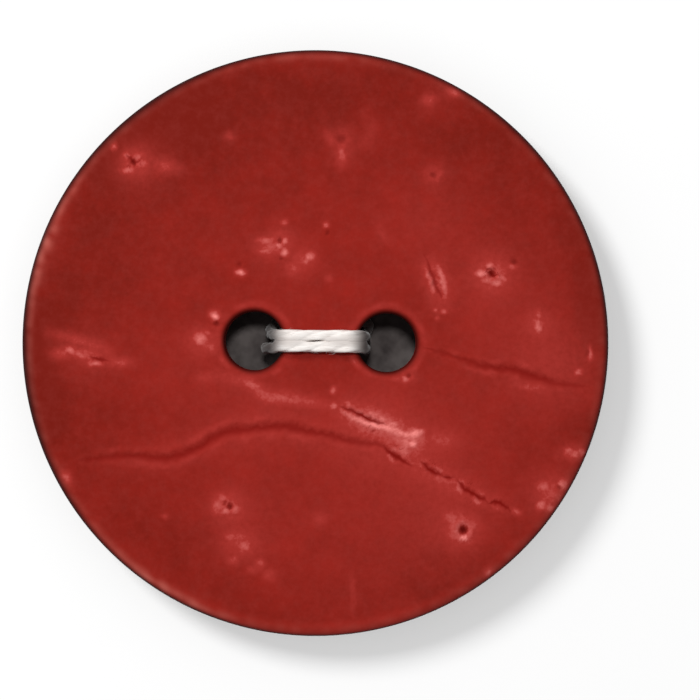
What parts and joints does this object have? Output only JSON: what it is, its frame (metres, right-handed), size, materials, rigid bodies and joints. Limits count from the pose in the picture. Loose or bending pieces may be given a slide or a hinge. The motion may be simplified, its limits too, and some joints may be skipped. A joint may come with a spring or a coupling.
{
  "type": "sewing button with thread stitch",
  "caption": "Round domed sewing button of red-coated natural shell with fine cracks and pits, a hollow back, rounded sewing holes and a white cotton stitch knotted behind.",
  "frame": {"origin": "middle of the flat rim that the button rests on, under the middle of its face", "axes": "+Z out of the face, +X along the line of the holes to the right as the face is seen, +Y up as the face is seen"},
  "size_m": [0.028, 0.028, 0.0038],
  "materials": {
    "button": "satin red coat on hard natural shell, dark and bare at the side, in the holes and on the back",
    "thread": "matte plied white cotton"
  },
  "bodies": {
    "root": {"button": "button", "thread": "thread"}
  },
  "joints": []
}
